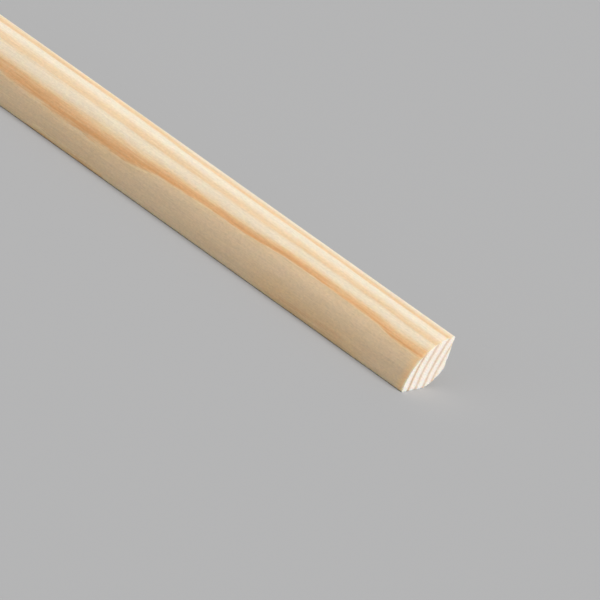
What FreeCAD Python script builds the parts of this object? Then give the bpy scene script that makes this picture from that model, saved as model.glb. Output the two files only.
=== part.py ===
import FreeCAD, Part
import os

# Quarter round moulding: one length of solid pine, moulded to a quarter circle
# and sawn square at both ends.
#
# X runs along the length and Z is up. The piece lies on its bottom flat, with
# its back flat upright on the +Y side and its curved face towards -Y, as it
# would lie along the foot of a wall. The origin is under the middle of the
# piece, on the plane of the bottom flat.

# Driving dimensions, in millimetres.
LENGTH = 900.0            # from one sawn end to the other
FACE_RADIUS = 18.0        # the curved face, and so the width and the height
RELIEF_HEIGHT = 6.2       # how far the relieved back corner reaches up the back flat
RELIEF_DEPTH = 7.2        # how far it reaches in along the bottom flat
RELIEF_CROWN = 0.75       # how far it stands out from a straight bevel, at its middle
ARRIS_RADIUS = 0.4        # the two long edges where the curved face meets a flat

# Lines of the section that follow from them.
BACK_Y = FACE_RADIUS / 2
TOE_Y = BACK_Y - FACE_RADIUS
TOP_Z = FACE_RADIUS

# How near to its place in the section a long edge has to lie to be taken as that edge.
EDGE_TOLERANCE = 0.001


def curved_face(toe, top):
    """A quarter circle from the toe up to the top, struck from the foot of the back flat."""
    foot = FreeCAD.Vector(toe.x, top.y, toe.z)
    circle = Part.Circle(foot, FreeCAD.Vector(1, 0, 0), FACE_RADIUS)
    return Part.Arc(circle, circle.parameter(top), circle.parameter(toe))


def relieved_corner(on_back, on_bottom):
    """The rounded bevel that takes the place of the corner between the two flats."""
    chord = on_bottom - on_back
    towards_corner = FreeCAD.Vector(0, -chord.z, chord.y).normalize()
    crown = (on_back + on_bottom) / 2 + towards_corner * RELIEF_CROWN
    return Part.Arc(on_back, crown, on_bottom)


def section():
    """The section at the -X end, with both arrises still sharp."""
    x = -LENGTH / 2
    toe = FreeCAD.Vector(x, TOE_Y, 0)
    top = FreeCAD.Vector(x, BACK_Y, TOP_Z)
    on_back = FreeCAD.Vector(x, BACK_Y, RELIEF_HEIGHT)
    on_bottom = FreeCAD.Vector(x, BACK_Y - RELIEF_DEPTH, 0)
    outline = (
        curved_face(toe, top),
        Part.LineSegment(top, on_back),
        relieved_corner(on_back, on_bottom),
        Part.LineSegment(on_bottom, toe),
    )
    return Part.Face(Part.Wire([line.toShape() for line in outline]))


def long_edge(solid, y, z):
    """The straight edge that runs along the solid at this place in its section."""
    for edge in solid.Edges:
        centre = edge.CenterOfMass
        runs_along = edge.BoundBox.XLength > LENGTH - EDGE_TOLERANCE
        if runs_along and abs(centre.y - y) < EDGE_TOLERANCE and abs(centre.z - z) < EDGE_TOLERANCE:
            return edge
    raise ValueError(f"no long edge at y = {y}, z = {z}")


def quarter_round():
    """The moulding: its section run along the length, then its arrises eased."""
    stock = section().extrude(FreeCAD.Vector(LENGTH, 0, 0))
    arrises = [long_edge(stock, TOE_Y, 0), long_edge(stock, BACK_Y, TOP_Z)]
    return stock.makeFillet(ARRIS_RADIUS, arrises)


os.makedirs("parts", exist_ok=True)
quarter_round().exportStep("parts/quarter_round.step")
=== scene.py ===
import math

import bmesh
import bpy
from bpy.props import FloatProperty, FloatVectorProperty, IntProperty, PointerProperty
from bpy.types import Operator, Panel, PropertyGroup
from mathutils import Matrix, Vector, noise


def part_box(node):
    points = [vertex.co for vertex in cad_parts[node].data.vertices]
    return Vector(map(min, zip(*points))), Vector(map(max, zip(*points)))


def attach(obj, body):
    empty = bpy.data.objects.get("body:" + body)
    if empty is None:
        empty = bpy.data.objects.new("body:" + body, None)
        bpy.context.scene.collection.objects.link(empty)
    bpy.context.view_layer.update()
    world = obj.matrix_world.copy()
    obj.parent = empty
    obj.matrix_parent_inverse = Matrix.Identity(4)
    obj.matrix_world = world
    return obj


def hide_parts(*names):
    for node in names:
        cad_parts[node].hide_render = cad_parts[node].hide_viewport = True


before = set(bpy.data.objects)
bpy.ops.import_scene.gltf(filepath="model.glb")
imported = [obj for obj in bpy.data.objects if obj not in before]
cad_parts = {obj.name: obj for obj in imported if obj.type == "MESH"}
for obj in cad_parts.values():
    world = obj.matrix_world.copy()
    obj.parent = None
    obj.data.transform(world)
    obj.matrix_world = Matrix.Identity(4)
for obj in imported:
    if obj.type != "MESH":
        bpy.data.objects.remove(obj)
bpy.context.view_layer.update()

bl_info = {
    "name": "Quarter Round Moulding",
    "version": (1, 0, 0),
    "blender": (4, 5, 0),
    "location": "3D View > Sidebar > Moulding",
    "description": "Models a pine quarter round moulding and the studio that it is pictured in",
    "category": "Add Mesh",
}

MM = 0.001

# The moulding's place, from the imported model. The curve is struck from the foot of the back flat.
LOW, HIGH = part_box("quarter_round")
LEFT_X, RIGHT_X = LOW.x, HIGH.x
BACK_Y = HIGH.y
FACE_RADIUS = 2 * HIGH.y

# The tree that the piece was sawn from. Its pith runs beside the moulding and wanders a little.
PITH_BEHIND = 34.2 * MM       # behind the back flat
PITH_BELOW = 3.2 * MM         # below the bottom flat
WANDER_ANGLE = 118.2          # degrees from forward, towards up, of the line that the pith wanders on
WANDER_REACH = 10.0           # millimetres that it may wander to either side

# Where along the piece the pith bends, and how far it has wandered there, both in millimetres.
WANDER_PATH = (
    (-450, 2.0), (-340, -3.5), (-230, 1.5), (-120, -4.0), (-20, 0.5), (80, -3.0), (170, 2.5),
    (240, -2.5), (300, -6.0), (330, -2.0), (355, 0.0), (372, 0.5), (392, 3.5), (412, 3.5),
    (431, 2.0), (440, 0.0), (450, 0.5))

# Its growth rings, numbered from the pith. The late wood of the dark ring is the strongest band on
# the curved face. The ring outside it is the outermost that the piece holds.
DARK_RING = 13
DARK_EDGE = 50.3 * MM         # from the pith to where the dark ring's year ended
RING_WIDTH = 3.52 * MM
OUTER_RING_WIDTH = 5.4 * MM
GOOD_YEARS_GAIN = 0.047       # how far good and poor years shift a ring, as a share of its width
GOOD_YEARS_TURN = 3           # years from one good year to the next
RING_WAVINESS = 0.18 * MM     # how far uneven growth moves a ring in or out
RING_FUZZ = 0.2 * MM          # how far the fibres make its edge ragged on the planed faces
SAWN_RING_FUZZ = 0.22 * MM    # and on the sawn ends
START_SHIFT = 15.3            # picks one of many like patterns of where late wood starts early
START_POWERS = (0.85, 1.2)    # of the season, where late wood starts earliest and latest

# How dark the late wood of each ring is, how warm its spring wood is and how bright all of it is,
# from the first ring here outwards. The innermost and the outermost of these lie outside the piece
# and only show where its pith is moved.
FIRST_RING = 6
RING_LATE_WOOD = (0.5, 0.6, 0.45, 0.6, 0.5, 0.58, 0.46, 1.0, 0.85, 0.6, 0.9, 0.5)
# The warmest ring, the outermost in the piece, covers the lower part of the curved face and makes that
# part warmer and darker than the top.
RING_WARMTH = (0.2, 0.0, 0.3, 0.1, 0.2, 0.1, 0.0, 0.25, 1.0, 0.5, 0.8, 0.3)
RING_TONE = (1.0, 0.97, 1.0, 0.96, 0.98, 0.95, 1.0, 1.05, 0.985, 0.97, 1.0, 0.98)


class MouldingSizes(PropertyGroup):
    """Sizes of the moulding that a user may change."""
    relief_height: FloatProperty(
        name="Relief height", description="How far the relieved back corner reaches up the back flat",
        default=6.2 * MM, min=0.0, unit="LENGTH")
    relief_depth: FloatProperty(
        name="Relief depth",
        description="How far the relieved back corner reaches in along the bottom flat",
        default=7.2 * MM, min=0.0, unit="LENGTH")
    relief_crown: FloatProperty(
        name="Relief crown", description="How far the relieved corner stands out from a straight bevel",
        default=0.75 * MM, min=0.01 * MM, unit="LENGTH")
    arris: FloatProperty(
        name="Arris", description="Radius of the two eased long edges of the curved face",
        default=0.4 * MM, min=0.0, unit="LENGTH")
    face_facets: IntProperty(
        name="Curved face facets", description="Facets across the curved face",
        default=60, min=8, max=200)
    relief_facets: IntProperty(
        name="Relief facets", description="Facets across the relieved corner",
        default=16, min=2, max=60)
    length_step: FloatProperty(
        name="Length step", description="Spacing of the mesh along the piece",
        default=20 * MM, min=1 * MM, unit="LENGTH")
    saw_grid: FloatProperty(
        name="Saw mark grid", description="Spacing of the mesh on the sawn ends",
        default=0.16 * MM, min=0.05 * MM, unit="LENGTH")
    saw_depth: FloatProperty(
        name="Saw mark depth", description="Depth of the roughness that the saw leaves on the ends",
        default=0.07 * MM, min=0.0, unit="LENGTH")
    tear_depth: FloatProperty(
        name="Tear depth", description="Depth of the tears where the saw leaves the wood",
        default=0.2 * MM, min=0.0, unit="LENGTH")
    tear_reach: FloatProperty(
        name="Tear reach", description="How far the tears reach in from the rim of a sawn end",
        default=0.6 * MM, min=0.01 * MM, unit="LENGTH")


class PineColours(PropertyGroup):
    """Colours of the wood, and of the painted glow and rim next to the sawn ends."""
    early_wood: FloatVectorProperty(
        name="Early wood", description="Pale spring growth on the planed faces",
        default=(0.87, 0.765, 0.605), subtype="COLOR", size=3, min=0, max=1)
    warm_wood: FloatVectorProperty(
        name="Warm wood", description="Spring growth of the warmer rings",
        default=(0.85, 0.65, 0.425), subtype="COLOR", size=3, min=0, max=1)
    amber_wood: FloatVectorProperty(
        name="Amber wood", description="Growth halfway from spring to summer on the planed faces",
        default=(0.86, 0.62, 0.36), subtype="COLOR", size=3, min=0, max=1)
    late_wood: FloatVectorProperty(
        name="Late wood", description="Darkest summer growth on the planed faces",
        default=(0.785, 0.42, 0.175), subtype="COLOR", size=3, min=0, max=1)
    # Painted light: a warm glow painted next to a sawn end, standing in for light coming through the
    # wood.
    painted_edge_glow: FloatVectorProperty(
        name="Edge wood", description="Warm wood next to a sawn end, where light comes through it",
        default=(1.0, 0.68, 0.34), subtype="COLOR", size=3, min=0, max=1)
    # Painted light: a paler rim painted along a sawn end on the warm rings, standing in for light coming
    # through the wood.
    painted_rim_glow: FloatVectorProperty(
        name="Rim fibres", description="Pale fibres that the saw lifts along the rim of a sawn end",
        default=(1.0, 0.84, 0.64), subtype="COLOR", size=3, min=0, max=1)
    end_early_wood: FloatVectorProperty(
        name="End early wood", description="Pale growth on the sawn ends",
        default=(0.884, 0.822, 0.745), subtype="COLOR", size=3, min=0, max=1)
    end_warm_wood: FloatVectorProperty(
        name="End warm wood", description="Growth just before a ring line on the sawn ends",
        default=(0.905, 0.80, 0.675), subtype="COLOR", size=3, min=0, max=1)
    end_late_wood: FloatVectorProperty(
        name="End late wood", description="Ring lines on the sawn ends",
        default=(0.62, 0.43, 0.285), subtype="COLOR", size=3, min=0, max=1)


class StudioSettings(PropertyGroup):
    """The floor and the light."""
    floor_colour: FloatVectorProperty(
        name="Floor colour", description="Plain pale floor",
        default=(0.40, 0.40, 0.403), subtype="COLOR", size=3, min=0, max=1)
    key_strength: FloatProperty(
        name="Key strength", description="Light from the main lamp on a face turned to it, 1 is white",
        default=0.97, min=0.0)
    fill_strength: FloatProperty(
        name="Fill strength", description="Light from the front lamp on a face turned to it, 1 is white",
        default=0.053, min=0.0)
    room_strength: FloatProperty(
        name="Room light", description="Even light from all round, 1 is white",
        default=0.41, min=0.0)


def plug(tree, socket, value):
    """Feeds a socket from an output, or sets its plain value."""
    if isinstance(value, bpy.types.NodeSocket):
        tree.links.new(value, socket)
    else:
        socket.default_value = value


def put_node(tree, kind, inputs=None, **settings):
    """Adds a node with these settings and inputs, each a plain value or the output that feeds it."""
    node = tree.nodes.new(kind)
    for name, value in settings.items():
        setattr(node, name, value)
    for socket, value in (inputs or {}).items():
        plug(tree, node.inputs[socket], value)
    return node


def put_math(tree, operation, *values, clamp=False):
    """Adds a Math node and returns its output."""
    node = put_node(
        tree, "ShaderNodeMath", dict(enumerate(values)), operation=operation, use_clamp=clamp)
    return node.outputs[0]


def put_ramp(tree, factor, stops, interpolation="LINEAR"):
    """Adds a Color Ramp through the stops, each a place and a grey value."""
    ramp = put_node(tree, "ShaderNodeValToRGB", {"Fac": factor})
    elements = ramp.color_ramp.elements
    ramp.color_ramp.interpolation = interpolation
    while len(elements) < len(stops):
        elements.new(1.0)
    for element, (place, value) in zip(elements, stops):
        element.position = place
        element.color = (value, value, value, 1.0)
    return ramp.outputs["Color"]


def put_range(tree, value, low, high, to_low=0.0, to_high=1.0, interpolation="LINEAR"):
    """Adds a Map Range node and returns its output."""
    node = put_node(
        tree, "ShaderNodeMapRange",
        {"Value": value, "From Min": low, "From Max": high, "To Min": to_low, "To Max": to_high},
        interpolation_type=interpolation)
    return node.outputs[0]


def put_mix(tree, factor, first, second):
    """Adds a colour Mix node and returns its colour. Its sockets go by number, as names repeat."""
    node = put_node(tree, "ShaderNodeMix", {0: factor, 6: first, 7: second}, data_type="RGBA")
    return node.outputs[2]


def put_tone(tree, colour, tone):
    """Makes a colour darker or paler by a factor."""
    node = put_node(tree, "ShaderNodeVectorMath", {0: colour, "Scale": tone}, operation="SCALE")
    return node.outputs[0]


def put_bump(tree, height, strength, distance):
    """Adds a Bump node and returns its normal."""
    node = put_node(
        tree, "ShaderNodeBump", {"Height": height, "Strength": strength, "Distance": distance})
    return node.outputs[0]


def put_grain(tree, position, size, detail=2.0, roughness=0.5):
    """Noise with round grains of this size in metres; averages 0.5."""
    node = put_node(
        tree, "ShaderNodeTexNoise",
        {"Vector": position, "Scale": 1 / size, "Detail": detail, "Roughness": roughness})
    return node.outputs[0]


def put_streaks(tree, position, across, along, shift=0.0, **look):
    """Noise with grains of these sizes across the section and along the length; averages 0.5."""
    stretched = put_node(
        tree, "ShaderNodeMapping",
        {"Vector": position, "Location": (shift, shift, shift),
         "Scale": (1 / along, 1 / across, 1 / across)})
    return put_grain(tree, stretched.outputs[0], 1.0, **look)


# Nearly all of a noise lies between these values.
NOISE_LOW, NOISE_HIGH = 0.3, 0.7


def put_swing(tree, pattern, at_low, at_high):
    """Turns a noise into values that run between these two."""
    return put_range(tree, pattern, NOISE_LOW, NOISE_HIGH, at_low, at_high)


def put_shift(tree, length, pattern, reach):
    """Makes a length longer or shorter by up to reach, as a noise lies above its average or below."""
    stray = put_math(tree, "SUBTRACT", pattern, 0.5)
    return put_math(tree, "MULTIPLY_ADD", stray, put_math(tree, "MULTIPLY", reach, 2.0), length)


def new_group(name, inputs, outputs):
    """An empty shader node group with these sockets, its given values and its result."""
    group = bpy.data.node_groups.new(name, "ShaderNodeTree")
    for socket, kind, default in inputs:
        made = group.interface.new_socket(socket, in_out="INPUT", socket_type=kind)
        if default is not None:
            made.default_value = default
    for socket in outputs:
        group.interface.new_socket(socket, in_out="OUTPUT", socket_type="NodeSocketFloat")
    return group, group.nodes.new("NodeGroupInput").outputs, group.nodes.new("NodeGroupOutput").inputs


def put_group(tree, group, inputs):
    """Places a node group with its own values and returns its outputs."""
    return put_node(tree, "ShaderNodeGroup", inputs, node_tree=group).outputs


def put_wander(tree, x):
    """How far the pith has wandered at x, from a smooth curve through the wander path."""
    share = put_range(tree, x, LEFT_X, RIGHT_X)
    node = put_node(tree, "ShaderNodeFloatCurve", {"Value": share})
    points = node.mapping.curves[0].points
    while len(points) < len(WANDER_PATH):
        points.new(0.5, 0.5)
    for point, (place, wander) in zip(points, WANDER_PATH):
        point.location = (
            (place * MM - LEFT_X) / (RIGHT_X - LEFT_X), 0.5 + wander / (2 * WANDER_REACH))
    node.mapping.update()
    reach = WANDER_REACH * MM
    return put_range(tree, node.outputs[0], 0.0, 1.0, -reach, reach)


def growth_rings_group():
    """Where a point of the wood lies in its ring, from its distance to the wandering pith."""
    group, given, result = new_group(
        "Growth Rings",
        [("Position", "NodeSocketVector", None),
         ("Ring Width", "NodeSocketFloat", RING_WIDTH),
         ("Waviness", "NodeSocketFloat", RING_WAVINESS),
         ("Fuzz", "NodeSocketFloat", RING_FUZZ)],
        ["Season", "Late Wood", "Warmth", "Tone"])
    position = given["Position"]
    x, y, z = put_node(group, "ShaderNodeSeparateXYZ", {0: position}).outputs

    wander = put_wander(group, x)
    angle = math.radians(WANDER_ANGLE)
    forward = put_math(group, "SUBTRACT", BACK_Y + PITH_BEHIND, y)
    forward = put_math(group, "MULTIPLY_ADD", wander, -math.cos(angle), forward)
    up = put_math(group, "ADD", z, PITH_BELOW)
    up = put_math(group, "MULTIPLY_ADD", wander, -math.sin(angle), up)
    section = put_node(group, "ShaderNodeCombineXYZ", {"Y": forward, "Z": up}).outputs[0]
    length = put_node(group, "ShaderNodeVectorMath", {0: section}, operation="LENGTH")

    # Uneven growth, and the ragged edge that the fibres give each ring.
    uneven = put_streaks(group, position, across=5 * MM, along=28 * MM)
    radius = put_shift(group, length.outputs["Value"], uneven, given["Waviness"])
    ragged = put_streaks(group, position, across=0.4 * MM, along=5 * MM)
    radius = put_shift(group, radius, ragged, given["Fuzz"])

    # Rings counted from the end of the dark one, then shifted by good and poor years.
    beyond = put_math(group, "SUBTRACT", radius, DARK_EDGE)
    rings = put_math(group, "DIVIDE", put_math(group, "MINIMUM", beyond, 0.0), given["Ring Width"])
    outer = put_math(group, "DIVIDE", put_math(group, "MAXIMUM", beyond, 0.0), OUTER_RING_WIDTH)
    rings = put_math(group, "ADD", rings, outer)
    turn = put_math(group, "MULTIPLY", rings, 2 * math.pi / GOOD_YEARS_TURN)
    rings = put_math(group, "MULTIPLY_ADD", put_math(group, "SINE", turn), GOOD_YEARS_GAIN, rings)
    rings = put_math(group, "ADD", rings, DARK_RING + 1)

    # The season runs from 0 to 1 through a year. Late wood starts earlier in some stretches.
    start = put_streaks(group, position, across=7 * MM, along=40 * MM, shift=START_SHIFT)
    power = put_swing(group, start, *START_POWERS)
    plug(group, result["Season"], put_math(group, "POWER", put_math(group, "FRACT", rings), power))
    share = put_range(group, rings, FIRST_RING, FIRST_RING + len(RING_LATE_WOOD))
    for name, values in (("Late Wood", RING_LATE_WOOD), ("Warmth", RING_WARMTH), ("Tone", RING_TONE)):
        stops = [(number / len(values), value) for number, value in enumerate(values)]
        plug(group, result[name], put_ramp(group, share, stops, "CONSTANT"))
    return group


# How strong the noise has to be for a resin fleck to show, and to show in full.
FLECK_START, FLECK_FULL = 0.72, 0.80


def wood_fibres_group():
    """Fine and broad streaks along the length, short woolly fibres, slow changes and resin flecks."""
    group, given, result = new_group(
        "Wood Fibres", [("Position", "NodeSocketVector", None)],
        ["Fine", "Wool", "Streak", "Broad", "Flecks"])
    position = given["Position"]
    ducts = put_streaks(group, position, across=0.22 * MM, along=2.6 * MM, detail=0.0)
    patterns = {
        "Fine": put_streaks(group, position, across=0.18 * MM, along=6 * MM, detail=3.0, roughness=0.6),
        "Wool": put_streaks(group, position, across=0.55 * MM, along=1 * MM, roughness=0.6),
        "Streak": put_streaks(group, position, across=0.6 * MM, along=18 * MM, detail=3.0, roughness=0.6),
        "Broad": put_streaks(group, position, across=2.5 * MM, along=40 * MM),
        "Flecks": put_range(group, ducts, FLECK_START, FLECK_FULL),
    }
    for name, pattern in patterns.items():
        plug(group, result[name], pattern)
    return group


def new_material(name):
    """A material with a Principled BSDF, and that shader."""
    material = bpy.data.materials.new(name)
    material.use_nodes = True
    tree = material.node_tree
    tree.nodes.clear()
    shader = put_node(tree, "ShaderNodeBsdfPrincipled")
    put_node(tree, "ShaderNodeOutputMaterial", {"Surface": shader.outputs[0]})
    return material, shader


def put_position(tree):
    """Where a point lies in the object's own coordinates."""
    return put_node(tree, "ShaderNodeTexCoord").outputs["Object"]


def opaque(colour):
    """A colour with its alpha."""
    return (*colour, 1.0)


# Wood lets part of the light in, and red light reaches furthest, then green, then blue.
LIGHT_SHARE = 0.6
LIGHT_REACH = 2.0 * MM
LIGHT_REACH_BY_COLOUR = (1.0, 0.65, 0.4)


def let_light_in(shader):
    """Gives a wood its soft glow."""
    shader.inputs["Subsurface Weight"].default_value = LIGHT_SHARE
    shader.inputs["Subsurface Radius"].default_value = LIGHT_REACH_BY_COLOUR
    shader.inputs["Subsurface Scale"].default_value = LIGHT_REACH


# How dark the wood of the planed faces grows through a year, from one spring (0) to the next (1).
PLANED_YEAR = (
    (0.0, 0.42), (0.05, 0.12), (0.11, 0.0), (0.30, 0.0), (0.40, 0.07), (0.50, 0.22),
    (0.58, 0.44), (0.68, 0.70), (0.80, 0.84), (0.90, 1.0), (0.96, 0.76), (1.0, 0.42))
AMBER_LATENESS = 0.5          # how dark late wood is where it has the amber colour

# What the fibres do to the planed wood, where each pattern is low and where it is high.
LATE_BY_STREAK = (0.84, 1.16)
TONE_BY_FIBRES = {
    "Fine": (0.945, 1.055), "Wool": (0.94, 1.06), "Streak": (1.03, 0.97), "Broad": (0.97, 1.03)}
ROUGHNESS_BY_FINE = (0.40, 0.52)
FLECK_TONE = -0.10            # what a resin fleck adds to the tone

# The fine relief of the planed faces, and how high late wood and fine streaks stand in it.
PLANED_BUMP = 0.35
PLANED_BUMP_DEPTH = 0.05 * MM
LATE_HEIGHT, FINE_HEIGHT = 0.35, 0.5

# In from a sawn end: how far the painted glow of light coming through the wood reaches, how far
# the paler painted rim reaches, and up to where the rim is at full strength.
PAINTED_GLOW_REACH = 4.0 * MM
PAINTED_RIM_REACH = 1.1 * MM
PAINTED_RIM_FULL = 0.1 * MM


def planed_pine(colours, rings, fibres):
    """The moulded faces: bands of late wood, sharp on the bark side and soft towards the pith."""
    material, shader = new_material("Planed Pine")
    tree = material.node_tree
    position = put_position(tree)
    grown = put_group(tree, rings, {"Position": position})
    streaks = put_group(tree, fibres, {"Position": position})

    late = put_math(tree, "MULTIPLY", put_ramp(tree, grown["Season"], PLANED_YEAR), grown["Late Wood"])
    streaked = put_swing(tree, streaks["Streak"], *LATE_BY_STREAK)
    late = put_math(tree, "MULTIPLY", late, streaked, clamp=True)
    wood = put_mix(tree, grown["Warmth"], opaque(colours.early_wood), opaque(colours.warm_wood))
    to_amber = put_range(tree, late, 0.0, AMBER_LATENESS)
    wood = put_mix(tree, to_amber, wood, opaque(colours.amber_wood))
    to_late = put_range(tree, late, AMBER_LATENESS, 1.0)
    wood = put_mix(tree, to_late, wood, opaque(colours.late_wood))

    # Painted light: the warm rings get a painted glow next to a sawn end and a paler painted rim along
    # it.
    x = put_node(tree, "ShaderNodeSeparateXYZ", {0: position}).outputs["X"]
    from_middle = put_math(tree, "ABSOLUTE", x)
    glow = put_range(tree, from_middle, RIGHT_X - PAINTED_GLOW_REACH, RIGHT_X)
    painted_rim = put_range(
        tree, from_middle, RIGHT_X - PAINTED_RIM_REACH, RIGHT_X - PAINTED_RIM_FULL, interpolation="SMOOTHSTEP")
    for share, colour in ((glow, colours.painted_edge_glow), (painted_rim, colours.painted_rim_glow)):
        wood = put_mix(tree, put_math(tree, "MULTIPLY", share, grown["Warmth"]), wood, opaque(colour))

    tone = grown["Tone"]
    for name, tones in TONE_BY_FIBRES.items():
        tone = put_math(tree, "MULTIPLY", tone, put_swing(tree, streaks[name], *tones))
    tone = put_math(tree, "MULTIPLY_ADD", streaks["Flecks"], FLECK_TONE, tone)
    plug(tree, shader.inputs["Base Color"], put_tone(tree, wood, tone))
    plug(tree, shader.inputs["Roughness"], put_swing(tree, streaks["Fine"], *ROUGHNESS_BY_FINE))

    height = put_math(tree, "MULTIPLY", streaks["Fine"], FINE_HEIGHT)
    height = put_math(tree, "MULTIPLY_ADD", late, LATE_HEIGHT, height)
    plug(tree, shader.inputs["Normal"], put_bump(tree, height, PLANED_BUMP, PLANED_BUMP_DEPTH))
    let_light_in(shader)
    return material


# How dark the wood of the sawn ends grows through a year, and when in the year it is warm.
SAWN_YEAR = (
    (0.0, 0.16), (0.10, 0.03), (0.35, 0.0), (0.50, 0.12), (0.60, 0.48), (0.68, 1.0),
    (0.80, 1.0), (0.90, 0.55), (1.0, 0.16))
WARM_SEASON = ((0.25, 0.0), (0.5, 1.0), (0.75, 1.0), (0.9, 0.0))

# A ring whose late wood is this dark, or less, has the faintest line. The darkest has a full one.
WEAKEST_LATE_WOOD = 0.5
FAINTEST_LINE = 0.65

# The ring lines break up in patches, and fine speckle covers the sawn ends.
PATCH_SIZE = 1.3 * MM
LINE_BY_PATCH = (0.75, 1.2)
SPECKLE_SIZE = 0.5 * MM
TONE_BY_SPECKLE = (0.87, 1.13)
SAWN_BUMP = 0.8
SAWN_BUMP_DEPTH = 0.15 * MM


def sawn_pine(colours, rings):
    """The sawn ends: pale and rough, with a thin brown line for each year."""
    material, shader = new_material("Sawn Pine")
    tree = material.node_tree
    position = put_position(tree)
    grown = put_group(tree, rings, {"Position": position, "Fuzz": SAWN_RING_FUZZ})

    strength = put_range(tree, grown["Late Wood"], WEAKEST_LATE_WOOD, 1.0, FAINTEST_LINE, 1.0)
    late = put_math(tree, "MULTIPLY", put_ramp(tree, grown["Season"], SAWN_YEAR), strength)
    patches = put_swing(tree, put_grain(tree, position, PATCH_SIZE), *LINE_BY_PATCH)
    late = put_math(tree, "MULTIPLY", late, patches)
    warm = put_ramp(tree, grown["Season"], WARM_SEASON)
    wood = put_mix(tree, warm, opaque(colours.end_early_wood), opaque(colours.end_warm_wood))
    wood = put_mix(tree, late, wood, opaque(colours.end_late_wood))

    speckle = put_grain(tree, position, SPECKLE_SIZE, detail=3.0, roughness=0.65)
    tone = put_swing(tree, speckle, *TONE_BY_SPECKLE)
    plug(tree, shader.inputs["Base Color"], put_tone(tree, wood, tone))
    shader.inputs["Roughness"].default_value = 0.8
    plug(tree, shader.inputs["Normal"], put_bump(tree, speckle, SAWN_BUMP, SAWN_BUMP_DEPTH))
    let_light_in(shader)
    return material


SAME_PLACE = 1e-7             # metres; a cut takes a corner this close to its plane to lie on it
NEAR = 0.01 * MM              # an edge or a face this close to a place counts as lying there
ARRIS_FACETS = 4
SHORT_STRETCHES = (1 * MM, 4 * MM)    # the long faces are cut this far in from each sawn end too
SHARP_TURN = 35               # degrees; an edge where the surface turns by less is smooth


def outward_of(along):
    """The direction out of the wood from a side of the section that runs this way."""
    return Vector((0, -along.z, along.y))


def relief_circle(sizes):
    """The relieved corner's arc: its centre, its radius, half its turn and its chord's direction."""
    on_back = Vector((0, BACK_Y, sizes.relief_height))
    on_bottom = Vector((0, BACK_Y - sizes.relief_depth, 0))
    chord = on_bottom - on_back
    half = chord.length / 2
    along = chord.normalized()
    radius = (half ** 2 + sizes.relief_crown ** 2) / (2 * sizes.relief_crown)
    centre = (on_back + on_bottom) / 2 + outward_of(along) * (sizes.relief_crown - radius)
    return centre, radius, math.asin(half / radius), along


def relief_points(sizes):
    """Where the relieved corner's facets meet in the section, from back flat to bottom flat."""
    centre, radius, reach, along = relief_circle(sizes)
    outward = outward_of(along)
    turns = [reach * (2 * step / sizes.relief_facets - 1) for step in range(sizes.relief_facets + 1)]
    return [centre + radius * (math.cos(turn) * outward + math.sin(turn) * along) for turn in turns]


def everything(bm):
    """All corners, edges and faces of the mesh."""
    return bm.verts[:] + bm.edges[:] + bm.faces[:]


def cut(bm, geometry, point, direction, clear=False):
    """Cuts the geometry with a plane and, if asked, takes off what lies beyond it that way."""
    bmesh.ops.bisect_plane(
        bm, geom=geometry, dist=SAME_PLACE, plane_co=point, plane_no=direction, clear_outer=clear)


def moulded_section(bm, sizes):
    """A round of the face's radius, cut to a quarter, with its back corner planed off in facets."""
    upright = Matrix.Translation((LEFT_X, BACK_Y, 0)) @ Matrix.Rotation(math.radians(90), 4, "Y")
    bmesh.ops.create_circle(
        bm, cap_ends=True, segments=4 * sizes.face_facets, radius=FACE_RADIUS, matrix=upright)
    cut(bm, everything(bm), (0, BACK_Y, 0), (0, 1, 0), clear=True)
    cut(bm, everything(bm), (0, 0, 0), (0, 0, -1), clear=True)
    points = relief_points(sizes)
    for start, end in zip(points, points[1:]):
        cut(bm, everything(bm), start, outward_of((end - start).normalized()), clear=True)


def run_to_length(bm):
    """Runs the section along the piece."""
    grown = bmesh.ops.extrude_face_region(bm, geom=bm.faces[:])
    moved = [part for part in grown["geom"] if isinstance(part, bmesh.types.BMVert)]
    bmesh.ops.translate(bm, verts=moved, vec=(RIGHT_X - LEFT_X, 0, 0))
    bmesh.ops.recalc_face_normals(bm, faces=bm.faces)


def ease_arrises(bm, sizes):
    """Rounds the two long edges where the curved face meets a flat."""
    toe = Vector((0, BACK_Y - FACE_RADIUS, 0))
    top = Vector((0, BACK_Y, FACE_RADIUS))
    arrises = []
    for edge in bm.edges:
        middle = (edge.verts[0].co + edge.verts[1].co) / 2
        if min((middle - toe).length, (middle - top).length) < NEAR:
            arrises.append(edge)
    bmesh.ops.bevel(
        bm, geom=arrises, offset=sizes.arris, offset_type="OFFSET", segments=ARRIS_FACETS,
        profile=0.5, affect="EDGES", clamp_overlap=True, material=-1)


def cut_across(bm, sizes):
    """Cuts the long faces into even stretches, with short ones next to the sawn ends."""
    stretches = round((RIGHT_X - LEFT_X) / sizes.length_step)
    places = [LEFT_X + (RIGHT_X - LEFT_X) * number / stretches for number in range(1, stretches)]
    for inset in SHORT_STRETCHES:
        places += [LEFT_X + inset, RIGHT_X - inset]
    for place in places:
        cut(bm, everything(bm), (place, 0, 0), (1, 0, 0))


def end_parts(bm, end_x):
    """The corners, edges and faces of the sawn end at this x."""
    faces = [face for face in bm.faces if abs(face.calc_center_median().x - end_x) < NEAR]
    edges = {edge for face in faces for edge in face.edges}
    corners = {corner for face in faces for corner in face.verts}
    return list(corners), list(edges), faces


def depth_from_rim(sizes, y, z):
    """How far a point of the section lies inside its outline, and whether a hidden side is nearest."""
    centre, radius = relief_circle(sizes)[:2]
    curved = FACE_RADIUS - math.hypot(y - BACK_Y, z)
    relieved = radius - (Vector((0, y, z)) - centre).length
    flats = min(BACK_Y - y, z)
    return max(0.0, min(curved, flats, relieved)), min(flats, relieved) < curved


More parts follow.
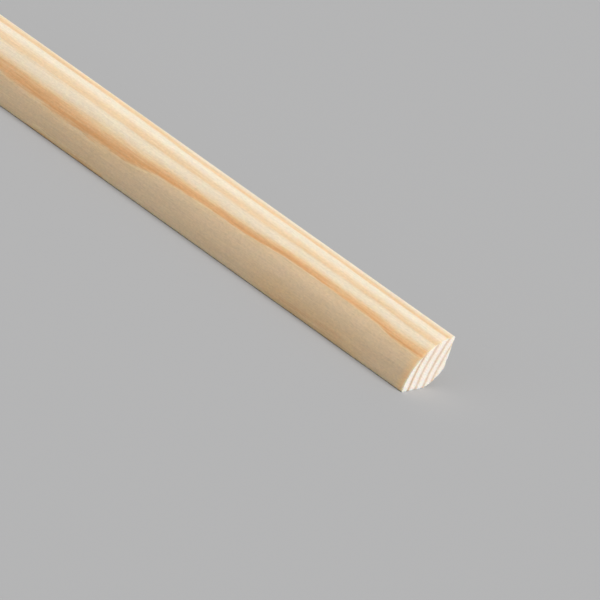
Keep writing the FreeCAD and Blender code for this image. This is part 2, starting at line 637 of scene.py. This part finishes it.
# Patterns on a sawn end: bumps to a millimetre, and a shift that picks one of many like patterns.
FUZZ = (2.2, (0, 0))
LUMPS = (0.6, (7, 3))
LARGE_TEARS = (0.5, (1.7, 5.2))
SMALL_TEARS = (1.9, (4.1, 0.6))

# The saw's strokes: the way across them in the section, how far apart they are in millimetres
# and how far, in radians, the lumps bend them.
STROKES_Y, STROKES_Z = 0.35, 0.94
STROKE_SPACING = 0.9
STROKE_BEND = 2

# How much of the roughness each kind of mark makes up.
FUZZ_SHARE, LUMPS_SHARE, STROKES_SHARE = 0.45, 0.25, 0.3

SMALL_TEARS_SHARE = 0.7       # how strong small tears are next to large ones
TEAR_GAIN = 2                 # how soon a tear reaches its full depth, as the pattern grows stronger
TEAR_FALL = 1.5               # power by which a tear grows shallow away from the rim


def marks(place, bumps, shift):
    """Smooth noise from -1 to 1 at a place, in millimetres, with so many bumps to each."""
    return noise.noise(place * bumps + Vector((*shift, 0)))


def saw_relief(sizes, y, z):
    """How deep the saw has left a point of a sawn end below its highest fibres, in metres."""
    place = Vector((y, z, 0)) / MM
    fuzz = 0.5 + 0.5 * marks(place, *FUZZ)
    lumps = 0.5 + 0.5 * marks(place, *LUMPS)
    stroke = 2 * math.pi * (STROKES_Y * place.x + STROKES_Z * place.y) / STROKE_SPACING
    strokes = 0.5 + 0.5 * math.sin(stroke + STROKE_BEND * lumps)
    depth = sizes.saw_depth * (FUZZ_SHARE * fuzz + LUMPS_SHARE * lumps + STROKES_SHARE * strokes)

    inside, hidden_side = depth_from_rim(sizes, y, z)
    torn = marks(place, *LARGE_TEARS) + SMALL_TEARS_SHARE * marks(place, *SMALL_TEARS)
    if hidden_side and torn > 0 and inside < sizes.tear_reach:
        fade = (1 - inside / sizes.tear_reach) ** TEAR_FALL
        depth += sizes.tear_depth * min(1.0, TEAR_GAIN * torn) * fade
    return depth


def sawn_ends(bm, sizes):
    """Gives both ends a fine mesh, the sawn wood's material and the roughness that the saw leaves."""
    for end_x, inward in ((LEFT_X, 1), (RIGHT_X, -1)):
        for direction in (Vector((0, 1, 0)), Vector((0, 0, 1))):
            low, high = LOW.dot(direction), HIGH.dot(direction)
            lines = round((high - low) / sizes.saw_grid)
            for line in range(1, lines):
                corners, edges, faces = end_parts(bm, end_x)
                place = direction * (low + (high - low) * line / lines)
                cut(bm, corners + edges + faces, place, direction)
        corners, _, faces = end_parts(bm, end_x)
        for face in faces:
            face.material_index = 1
        for corner in corners:
            corner.co.x = end_x + inward * saw_relief(sizes, corner.co.y, corner.co.z)


class MOULDING_OT_quarter_round(Operator):
    """Models the moulding in place of the plain solid and gives it its wood"""
    bl_idname = "moulding.quarter_round"
    bl_label = "Quarter Round"

    def execute(self, context):
        sizes = context.scene.moulding_sizes
        colours = context.scene.moulding_colours
        bm = bmesh.new()
        moulded_section(bm, sizes)
        run_to_length(bm)
        ease_arrises(bm, sizes)
        cut_across(bm, sizes)
        sawn_ends(bm, sizes)
        for face in bm.faces:
            face.smooth = True
        for edge in bm.edges:
            edge.smooth = edge.calc_face_angle(0.0) < math.radians(SHARP_TURN)
        mesh = bpy.data.meshes.new("pine_quarter_round")
        bm.to_mesh(mesh)
        bm.free()

        rings = growth_rings_group()
        mesh.materials.append(planed_pine(colours, rings, wood_fibres_group()))
        mesh.materials.append(sawn_pine(colours, rings))
        piece = bpy.data.objects.new("pine_quarter_round", mesh)
        context.collection.objects.link(piece)
        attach(piece, "root")
        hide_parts("quarter_round")
        return {"FINISHED"}


# The camera stands where the photograph was taken from, far off, and sees the piece's right end.
VIEW_AZIMUTH = 34.33          # degrees round from straight in front of the curved face
VIEW_ELEVATION = 24.13        # degrees above the floor
VIEW_ROLL = 19.87             # degrees that the camera leans
VIEW_DISTANCE = 4.833         # metres from the foot of the back flat at the right end
FRAME_SPAN = 190.8 * MM       # what the frame spans at that distance
FRAME_PIXELS = 600            # to each side of the frame
FOOT_PIXEL = (437.9, 385.1)   # where the foot of the back flat at the right end lies in the frame
SENSOR = 36.0                 # millimetres
CLIP_START, CLIP_END = 0.1, 100    # metres


def add_camera(context):
    """A camera that frames the piece as the photograph does."""
    azimuth = math.radians(VIEW_AZIMUTH)
    elevation = math.radians(VIEW_ELEVATION)
    back = Vector((
        math.sin(azimuth) * math.cos(elevation),
        -math.cos(azimuth) * math.cos(elevation),
        math.sin(elevation)))
    level = Vector((math.cos(azimuth), math.sin(azimuth), 0))
    right = Matrix.Rotation(math.radians(VIEW_ROLL), 3, back) @ level
    up = back.cross(right)
    foot = Vector((RIGHT_X, BACK_Y, 0))
    across, down = ((pixel / FRAME_PIXELS - 0.5) * FRAME_SPAN for pixel in FOOT_PIXEL)
    place = foot - across * right + down * up + VIEW_DISTANCE * back

    data = bpy.data.cameras.new("camera")
    data.sensor_width = SENSOR
    data.lens = SENSOR * VIEW_DISTANCE / FRAME_SPAN
    data.clip_start = CLIP_START
    data.clip_end = CLIP_END
    camera = bpy.data.objects.new("camera", data)
    turn = Matrix((right, up, back)).transposed().to_4x4()
    camera.matrix_world = Matrix.Translation(place) @ turn
    context.collection.objects.link(camera)
    context.scene.camera = camera


# Each lamp stands this way from the piece, far enough off to light the whole floor evenly.
KEY_DIRECTION = (0.64, 0.195, 0.745)
FILL_DIRECTION = (-0.155, -0.935, 0.325)
LAMP_SPREAD = 33              # degrees across, as the piece sees a lamp


def add_lamp(context, name, direction, strength):
    """A large soft lamp aimed at the piece; strength is the light it throws there, 1 is white."""
    data = bpy.data.lights.new(name, "SUN")
    data.angle = math.radians(LAMP_SPREAD)
    data.energy = strength * math.pi
    lamp = bpy.data.objects.new(name, data)
    towards = Vector(direction).normalized()
    lamp.location = towards
    lamp.rotation_euler = towards.to_track_quat("Z", "Y").to_euler()
    context.collection.objects.link(lamp)


FLOOR_REACH = 25              # metres from the middle of the floor to its sides
FLOOR_LIGHT = 1.155           # the light on the floor, 1 is white; the view past it is as bright


def add_floor(context, colour):
    """A plain floor without gloss."""
    bm = bmesh.new()
    bmesh.ops.create_grid(bm, x_segments=1, y_segments=1, size=FLOOR_REACH)
    mesh = bpy.data.meshes.new("floor")
    bm.to_mesh(mesh)
    bm.free()
    material, shader = new_material("Studio Floor")
    shader.inputs["Base Color"].default_value = opaque(colour)
    shader.inputs["Roughness"].default_value = 0.9
    shader.inputs["Specular IOR Level"].default_value = 0.0
    mesh.materials.append(material)
    floor = bpy.data.objects.new("floor", mesh)
    context.collection.objects.link(floor)


def add_world(context, settings):
    """Even light from all round; the camera sees it in the floor's colour."""
    world = bpy.data.worlds.new("studio")
    world.use_nodes = True
    tree = world.node_tree
    tree.nodes.clear()
    room = put_node(
        tree, "ShaderNodeBackground", {"Color": (1, 1, 1, 1), "Strength": settings.room_strength})
    seen = put_node(
        tree, "ShaderNodeBackground",
        {"Color": opaque(settings.floor_colour), "Strength": FLOOR_LIGHT})
    by_camera = put_node(tree, "ShaderNodeLightPath").outputs["Is Camera Ray"]
    mixed = put_node(
        tree, "ShaderNodeMixShader", {0: by_camera, 1: room.outputs[0], 2: seen.outputs[0]})
    put_node(tree, "ShaderNodeOutputWorld", {"Surface": mixed.outputs[0]})
    context.scene.world = world


class MOULDING_OT_studio(Operator):
    """Adds the floor, the lamps, the room's light and the camera"""
    bl_idname = "moulding.studio"
    bl_label = "Studio"

    def execute(self, context):
        settings = context.scene.moulding_studio
        add_floor(context, settings.floor_colour)
        add_world(context, settings)
        add_lamp(context, "key", KEY_DIRECTION, settings.key_strength)
        add_lamp(context, "fill", FILL_DIRECTION, settings.fill_strength)
        add_camera(context)
        context.scene.view_settings.view_transform = "Standard"
        return {"FINISHED"}


class MOULDING_PT_panel(Panel):
    """Lists the moulding's sizes, colours and steps"""
    bl_idname = "MOULDING_PT_panel"
    bl_label = "Quarter Round Moulding"
    bl_space_type = "VIEW_3D"
    bl_region_type = "UI"
    bl_category = "Moulding"

    def draw(self, context):
        scene = context.scene
        for settings in (scene.moulding_sizes, scene.moulding_colours, scene.moulding_studio):
            box = self.layout.box()
            for name in settings.__annotations__:
                box.prop(settings, name)
        self.layout.operator(MOULDING_OT_quarter_round.bl_idname)
        self.layout.operator(MOULDING_OT_studio.bl_idname)


CLASSES = (
    MouldingSizes, PineColours, StudioSettings,
    MOULDING_OT_quarter_round, MOULDING_OT_studio, MOULDING_PT_panel)


def register():
    """Makes the settings, the steps and the panel known to Blender."""
    for cls in CLASSES:
        bpy.utils.register_class(cls)
    bpy.types.Scene.moulding_sizes = PointerProperty(type=MouldingSizes)
    bpy.types.Scene.moulding_colours = PointerProperty(type=PineColours)
    bpy.types.Scene.moulding_studio = PointerProperty(type=StudioSettings)


def unregister():
    """Takes them away again."""
    del bpy.types.Scene.moulding_studio
    del bpy.types.Scene.moulding_colours
    del bpy.types.Scene.moulding_sizes
    for cls in reversed(CLASSES):
        bpy.utils.unregister_class(cls)


def main():
    """Builds the piece and its studio."""
    register()
    bpy.ops.moulding.quarter_round()
    bpy.ops.moulding.studio()


if __name__ == "__main__":
    main()
